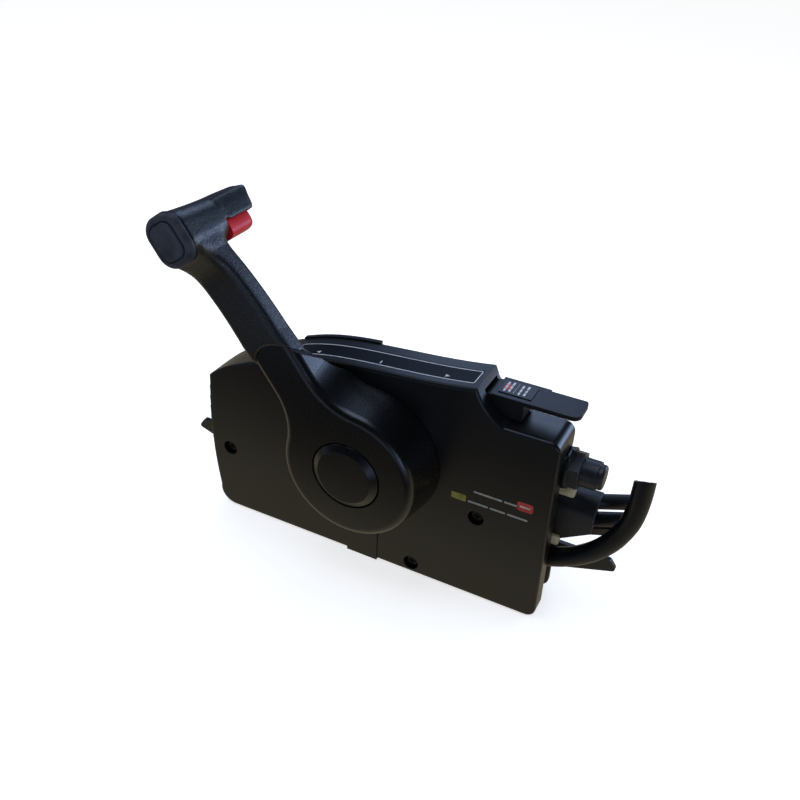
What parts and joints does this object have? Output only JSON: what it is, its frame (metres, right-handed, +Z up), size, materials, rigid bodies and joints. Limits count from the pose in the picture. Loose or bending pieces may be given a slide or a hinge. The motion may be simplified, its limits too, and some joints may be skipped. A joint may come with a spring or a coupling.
{
  "type": "boat throttle control lever",
  "caption": "Side-mount engine control box with a cranked lever, release trigger, warm-up button, fast idle lever, stop switch and cable outlets.",
  "frame": {"origin": "on the lever shaft's axis, in the plane of the mounting plate's back face, which bears on the boat's side panel", "axes": "+X to the right along the box, +Y into the panel, +Z up; the lever rests in its forward detent, leaning left"},
  "size_m": [0.3163, 0.1195, 0.2315],
  "materials": {
    "cover_plastic": "moulded black glass-filled nylon, satin",
    "strip_plastic": "smooth black film with white outline and symbols",
    "plate_steel": "black powder coat on stamped steel",
    "lever_plastic": "moulded black nylon, satin",
    "arm_plastic": "moulded black nylon, fine grain",
    "cap_plastic": "moulded black, soft satin",
    "trigger_red": "moulded red acetal",
    "button_plastic": "moulded black, satin",
    "steel": "turned stainless steel",
    "spring_steel": "drawn spring wire and strip",
    "screw_steel": "black zinc plated screws",
    "bronze": "sintered bronze",
    "nylon_natural": "natural nylon, cream",
    "switch_black": "moulded black thermoset",
    "rubber_black": "black rubber and sleeving",
    "label_film": "printed film, bare but for plain bars"
  },
  "bodies": {
    "housing": {"front_cover": "cover_plastic", "position_strip": "strip_plastic", "slot_tongue": "cover_plastic", "mounting_plate": "plate_steel", "rear_case": "cover_plastic", "case_screws": "screw_steel", "front_screws": "screw_steel", "lock_ring": "steel", "front_bushing": "bronze", "rear_bushing": "bronze", "detent_roller": "steel", "detent_spring": "spring_steel", "detent_bracket": "steel", "gear_pins": "steel", "friction_shoe": "nylon_natural", "friction_screw": "steel", "fast_idle_pin": "steel", "stop_switch_body": "switch_black", "stop_switch_nut": "switch_black", "stop_switch_ring": "switch_black", "switch_bracket": "plate_steel", "cable_block": "cover_plastic", "shift_cable_sleeve": "rubber_black", "throttle_cable_sleeve": "rubber_black", "terminal_bracket": "plate_steel", "nylon_nuts": "nylon_natural", "nut_studs": "steel", "harness_grommet": "rubber_black", "harness_lead": "rubber_black"},
    "lever": {"hub_cover": "lever_plastic", "upper_arm": "arm_plastic", "arm_screws": "screw_steel", "grip_cap": "cap_plastic", "main_shaft": "steel", "detent_disc": "steel", "drive_gear": "steel", "button_spring": "spring_steel"},
    "throttle_button_body": {"throttle_button": "button_plastic"},
    "trigger": {"release_trigger": "trigger_red", "lock_rod": "steel"},
    "shift_arm": {"shift_gear": "steel"},
    "throttle_arm": {"throttle_gear": "steel"},
    "fast_idle": {"fast_idle_lever": "cover_plastic", "fast_idle_plate": "label_film"},
    "stop_button": {"stop_switch_button": "switch_black"}
  },
  "joints": [
    {"name": "lever_turn", "type": "hinge", "parent": "housing", "child": "lever", "pos_m": [0, 0, 0], "axis": [0, 1, 0], "range_deg": [-50, 95]},
    {"name": "button_push", "type": "slide", "parent": "lever", "child": "throttle_button_body", "axis": [0, 1, 0], "range_m": [0, 0.004], "stiffness_N_per_m": 800, "springref_m": -0.002},
    {"name": "trigger_lift", "type": "slide", "parent": "lever", "child": "trigger", "axis": [-0.5807, 0, 0.8141], "range_m": [0, 0.0045], "stiffness_N_per_m": 800, "springref_m": -0.002},
    {"name": "shift_arm_turn", "type": "hinge", "parent": "housing", "child": "shift_arm", "pos_m": [0.0435, 0, -0.02029], "axis": [0, 1, 0], "range_deg": [-57.2, 30.2]},
    {"name": "throttle_arm_turn", "type": "hinge", "parent": "housing", "child": "throttle_arm", "pos_m": [-0.04078, 0, -0.01902], "axis": [0, 1, 0], "range_deg": [-63.5, 33.5]},
    {"name": "fast_idle_turn", "type": "hinge", "parent": "housing", "child": "fast_idle", "pos_m": [0.07, 0, 0.05], "axis": [0, -1, 0], "range_deg": [0, 45]},
    {"name": "stop_push", "type": "slide", "parent": "housing", "child": "stop_button", "axis": [-1, 0, 0], "range_m": [0, 0.0025], "stiffness_N_per_m": 800, "springref_m": -0.002}
  ],
  "couplings": [
    {"joint": "shift_arm_turn", "follows": "lever_turn", "ratio": -0.6},
    {"joint": "throttle_arm_turn", "follows": "lever_turn", "ratio": -0.66667}
  ]
}
